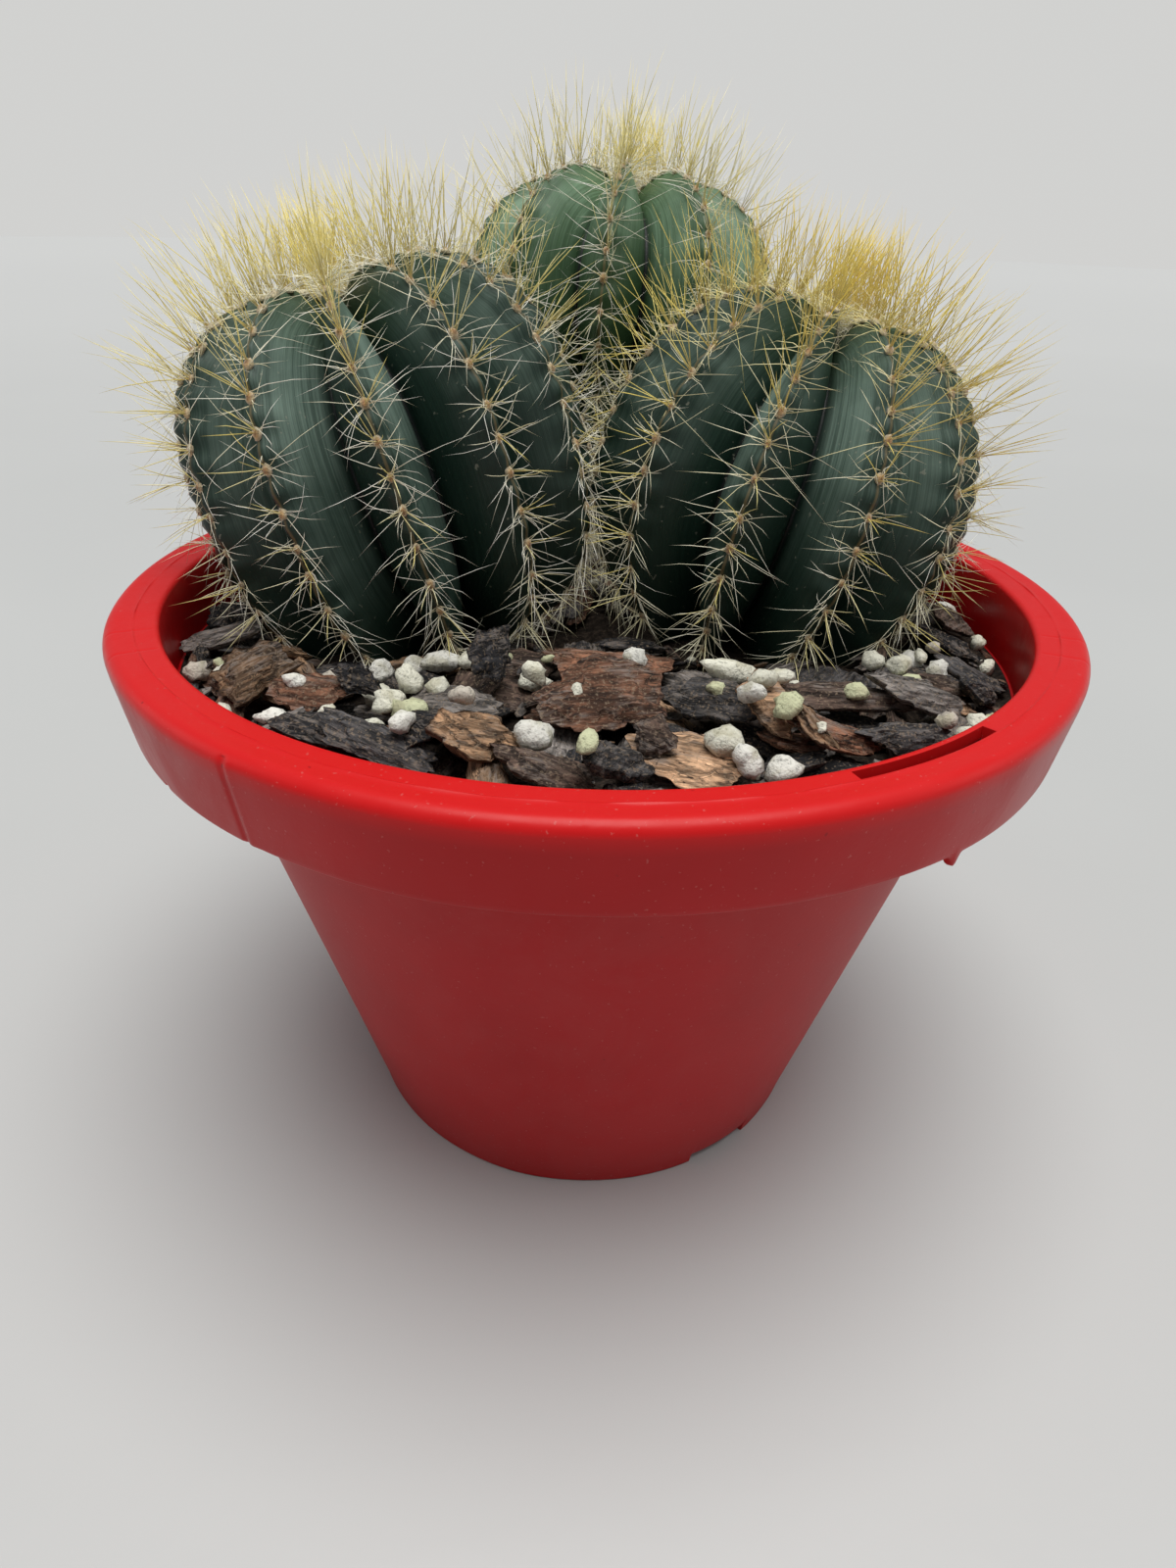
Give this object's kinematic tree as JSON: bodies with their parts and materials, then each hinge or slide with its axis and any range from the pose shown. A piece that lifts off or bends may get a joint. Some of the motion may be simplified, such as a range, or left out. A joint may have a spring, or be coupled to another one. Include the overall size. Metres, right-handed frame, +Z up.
{
  "type": "potted round cactus",
  "caption": "Cluster of round ribbed cactus heads with golden spines, growing in bark and perlite mulch in a red tapered plastic pot with a turned-down rim.",
  "frame": {"origin": "centre of the flat pad under the pot's floor, on the surface that the pot stands on", "axes": "+Z up, -Y towards the front, which looks between the two lower heads; +X to the right"},
  "size_m": [0.2021, 0.2333, 0.2194],
  "materials": {
    "pot_plastic": "satin moulded plastic, bright red",
    "potting_mix": "dark crumbly mix",
    "stem_skin": "blue-green skin with a thin waxy bloom",
    "stem_skin_light": "mid-green skin with a thin waxy bloom",
    "spines": "stiff straw-yellow bristles, paler below, brown wool at the root",
    "bark": "rough layered bark, charcoal to rust brown",
    "perlite": "chalky porous white"
  },
  "bodies": {
    "root": {"bark_chip_01": "bark", "bark_chip_02": "bark", "bark_chip_03": "bark", "bark_chip_04": "bark", "bark_chip_05": "bark", "bark_chip_06": "bark", "bark_chip_07": "bark", "bark_chip_08": "bark", "bark_chip_09": "bark", "bark_chip_10": "bark", "bark_chip_11": "bark", "bark_chip_12": "bark", "bark_chip_13": "bark", "bark_chip_14": "bark", "bark_chip_15": "bark", "bark_chip_16": "bark", "bark_chip_17": "bark", "bark_chip_18": "bark", "bark_chip_19": "bark", "bark_chip_20": "bark", "bark_chip_21": "bark", "bark_chip_22": "bark", "bark_chip_23": "bark", "bark_chip_24": "bark", "bark_chip_25": "bark", "bark_chip_26": "bark", "bark_chip_27": "bark", "cactus_back": "stem_skin_light", "cactus_left": "stem_skin", "cactus_right": "stem_skin", "perlite_01": "perlite", "perlite_02": "perlite", "perlite_03": "perlite", "perlite_04": "perlite", "perlite_05": "perlite", "perlite_06": "perlite", "perlite_07": "perlite", "perlite_08": "perlite", "perlite_09": "perlite", "perlite_10": "perlite", "perlite_11": "perlite", "perlite_12": "perlite", "perlite_13": "perlite", "perlite_14": "perlite", "pot": "pot_plastic", "soil": "potting_mix", "spines_back": "spines", "spines_left": "spines", "spines_right": "spines"}
  },
  "joints": []
}
